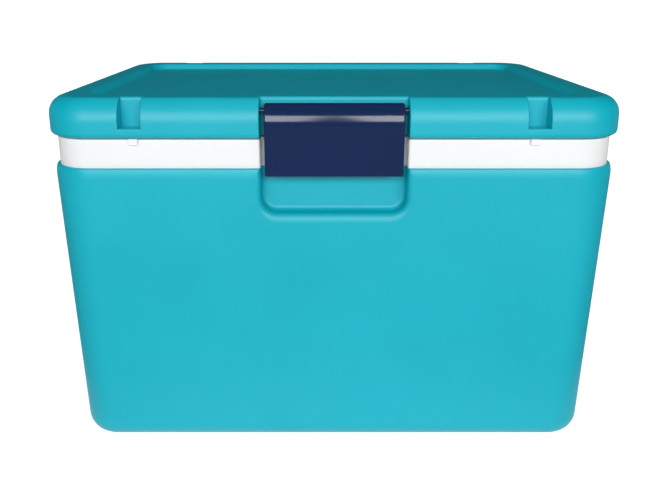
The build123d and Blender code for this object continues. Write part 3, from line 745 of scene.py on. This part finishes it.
def buildLatch():
    s = latchShape
    half, soft = s["width"] / 2, s["sideRound"]
    rings = []
    for side in (-1, 1):
        steps = range(5) if side < 0 else range(4, -1, -1)
        for i in steps:
            a = math.radians(90 * i / 4)
            inset = soft * (1 - math.sin(a))
            x = side * (half - soft * (1 - math.cos(a)))
            outline = flapOutline(inset, s["bottom"] + inset, s["back"], s["footRound"])
            rings.append([(x, y, z) for y, z in outline])
    latch = newPiece("latch_moulding", loftMesh(rings))
    inner = half - s["flange"]
    hollow = flapSlice(-inner, inner, s["wall"], s["hollowFloor"], s["hollowBack"])
    carve(latch, [hollow])
    ears = [flapSlice(side * s["earSpacing"] / 2 - s["earWidth"] / 2,
                      side * s["earSpacing"] / 2 + s["earWidth"] / 2,
                      s["wall"] / 2, s["earFloor"], s["earBack"]) for side in (-1, 1)]
    skin = s["face"] + s["wall"] / 2
    hookBottom = s["hookTop"] - s["hookThickness"]
    chamfer = s["hookThickness"] / 2
    profile = [(skin, hookBottom), (s["hookTip"] - chamfer, hookBottom),
               (s["hookTip"], hookBottom + chamfer), (s["hookTip"], s["hookTop"]),
               (skin, s["hookTop"])]
    hook = newPiece("tool", loftMesh([[(x, y, z) for y, z in profile]
                                      for x in (-s["hookLength"] / 2, s["hookLength"] / 2)]))
    ribs = []
    for n in (-1, 0, 1):
        ribFoot = s["hookTop"] - s["ribSink"]
        web = [(skin, ribFoot), (s["hookTip"] - s["ribSetback"], ribFoot),
               (skin, s["hookTop"] + s["ribRise"])]
        x = n * s["ribSpacing"]
        ribs.append(newPiece("tool", loftMesh([
            [(px, y, z) for y, z in web]
            for px in (x - s["ribWidth"] / 2, x + s["ribWidth"] / 2)])))
    carve(latch, [*ears, hook, *ribs], "UNION")
    bore = newPiece("tool", loftMesh([[(x, latchPivotY() + y, s["pivotZ"] + z)
                                       for y, z in arcPoints((0, 0), s["pinHole"], 0, 360, 32)[:-1]]
                                      for x in (-half - 1, half + 1)]))
    carve(latch, [bore])
    return latch


finishPiece(buildLatch(), navyAbs, "latch", ("latch_flap",))
print("latch moulded")

# Camera, a little above the lid and looking down
cameraSet = {
    "lens": 37.39, "sensor": 36,
    "aside": -8, "distance": 594.1, "height": 333.8, "pitch": 16.4,
    "imageWidth": 670, "pixelsUp": 45.5, "pixelsLeft": 12.5,
}
cameraData = bpy.data.cameras.new("camera")
cameraData.lens = cameraSet["lens"]
cameraData.sensor_width = cameraSet["sensor"]
cameraData.shift_x = cameraSet["pixelsLeft"] / cameraSet["imageWidth"]
cameraData.shift_y = -cameraSet["pixelsUp"] / cameraSet["imageWidth"]
camera = bpy.data.objects.new("camera", cameraData)
camera.location = (cameraSet["aside"] * mm, -cameraSet["distance"] * mm, cameraSet["height"] * mm)
camera.rotation_euler = (math.radians(90 - cameraSet["pitch"]), 0, 0)
bpy.context.scene.collection.objects.link(camera)
bpy.context.scene.camera = camera

# Large soft boxes: two in front, about a metre above the carrier, and fill behind and above,
# which lights the carrier but is kept out of its reflections
lightSet = {
    "left": {"azimuth": -18, "elevation": 21.3, "size": (1600, 900), "radiance": 7.35,
             "mirrored": True},
    "right": {"azimuth": 20, "elevation": 21.3, "size": (1600, 900), "radiance": 7.75,
              "mirrored": True},
    "rearLeft": {"azimuth": -128, "elevation": 5, "size": (1700, 700), "radiance": 8,
                 "mirrored": False},
    "rearRight": {"azimuth": 128, "elevation": 5, "size": (1700, 700), "radiance": 8,
                  "mirrored": False},
    "top": {"azimuth": 0, "elevation": 80, "size": (1500, 1500), "radiance": 1.3,
            "mirrored": False},
}
lightDistance = 2800
roomLight = 0.03
aim = Vector((0, -60 * mm, 150 * mm))
for name, box in lightSet.items():
    width, height = (side * mm for side in box["size"])
    data = bpy.data.lights.new(name, "AREA")
    data.shape = "RECTANGLE"
    data.size, data.size_y = width, height
    data.energy = box["radiance"] * math.pi * width * height
    azimuth, elevation = math.radians(box["azimuth"]), math.radians(box["elevation"])
    away = Vector((math.sin(azimuth) * math.cos(elevation),
                   -math.cos(azimuth) * math.cos(elevation),
                   math.sin(elevation)))
    light = bpy.data.objects.new(name, data)
    light.location = aim + away * lightDistance * mm
    light.rotation_euler = (-away).to_track_quat("-Z", "Y").to_euler()
    light.visible_camera = False
    light.visible_glossy = box["mirrored"]
    bpy.context.scene.collection.objects.link(light)

# The room: a weak even light that the camera alone sees as white
world = bpy.data.worlds.new("studio")
world.use_nodes = True
background = world.node_tree.nodes["Background"]
background.inputs["Color"].default_value = (1, 1, 1, 1)
inView = addNode(world.node_tree, "ShaderNodeLightPath").outputs["Is Camera Ray"]
brightness = addNode(world.node_tree, "ShaderNodeMapRange",
                     {"To Min": roomLight, "To Max": 1}, {"Value": inView})
world.node_tree.links.new(brightness.outputs["Result"], background.inputs["Strength"])
bpy.context.scene.world = world


# White paper floor: it shows white, and keeps the carrier's shadow; a little light of its own grows
# with the distance, and in reflections the paper away from the carrier is painted dark, a painted
# dark studio
floorSet = {"metresAcross": 400, "nearGlow": 0.76, "farGlow": 0.99, "nearEnd": 400, "farStart": 1800,
            "paintedDarkStart": 190, "darkFrom": 330, "darkShare": 0.06}


def paperFloor():
    material, tree, shader = newMaterial("white paper, matt",
                                         {"Roughness": 0.9, "Specular IOR Level": 0.1})
    place = addNode(tree, "ShaderNodeNewGeometry").outputs["Position"]
    away = addNode(tree, "ShaderNodeVectorMath", {"operation": "LENGTH"}, {0: place})
    seen = addNode(tree, "ShaderNodeLightPath")
    mirrored = addNode(tree, "ShaderNodeMath", {"operation": "MAXIMUM"},
                       {0: seen.outputs["Is Glossy Ray"], 1: seen.outputs["Is Transmission Ray"]})
    # in reflections the paper is painted dark further from the carrier: painted darkness standing in
    # for a dark studio
    paintedDark = addNode(tree, "ShaderNodeMapRange",
                    {"From Min": floorSet["paintedDarkStart"] * mm, "From Max": floorSet["darkFrom"] * mm,
                     "To Min": 0, "To Max": 1 - floorSet["darkShare"]},
                    {"Value": away.outputs["Value"]})
    # the share of painted dark on the paper, in reflections only
    shade = addNode(tree, "ShaderNodeMath", {"operation": "MULTIPLY"},
                    {0: mirrored.outputs[0], 1: paintedDark.outputs["Result"]})
    paper = addNode(tree, "ShaderNodeMix",
                    {"data_type": "RGBA", 6: colour("#E4E4E4"), 7: (0, 0, 0, 1)},
                    {0: shade.outputs[0]})
    tree.links.new(paper.outputs[2], shader.inputs["Base Color"])
    shine = addNode(tree, "ShaderNodeMapRange",
                    {"From Min": floorSet["nearEnd"] * mm, "From Max": floorSet["farStart"] * mm,
                     "To Min": floorSet["nearGlow"], "To Max": floorSet["farGlow"]},
                    {"Value": away.outputs["Value"]})
    reflected = addNode(tree, "ShaderNodeMath", {"operation": "SUBTRACT"},
                        {0: mirrored.outputs[0], 1: shade.outputs[0]})
    either = addNode(tree, "ShaderNodeMath", {"operation": "MAXIMUM"},
                     {0: seen.outputs["Is Camera Ray"], 1: reflected.outputs[0]})
    glow = addNode(tree, "ShaderNodeMath", {"operation": "MULTIPLY"},
                   {0: either.outputs[0], 1: shine.outputs["Result"]})
    tree.links.new(glow.outputs[0], shader.inputs["Emission Strength"])
    shader.inputs["Emission Color"].default_value = (1, 1, 1, 1)
    return material


floorMesh = bmesh.new()
bmesh.ops.create_grid(floorMesh, x_segments=1, y_segments=1, size=floorSet["metresAcross"] / 2)
floorData = bpy.data.meshes.new("floor")
floorMesh.to_mesh(floorData)
floorMesh.free()
floor = bpy.data.objects.new("floor", floorData)
floor.data.materials.append(paperFloor())
bpy.context.scene.collection.objects.link(floor)
bpy.context.scene.view_settings.view_transform = "Standard"
print("studio set")
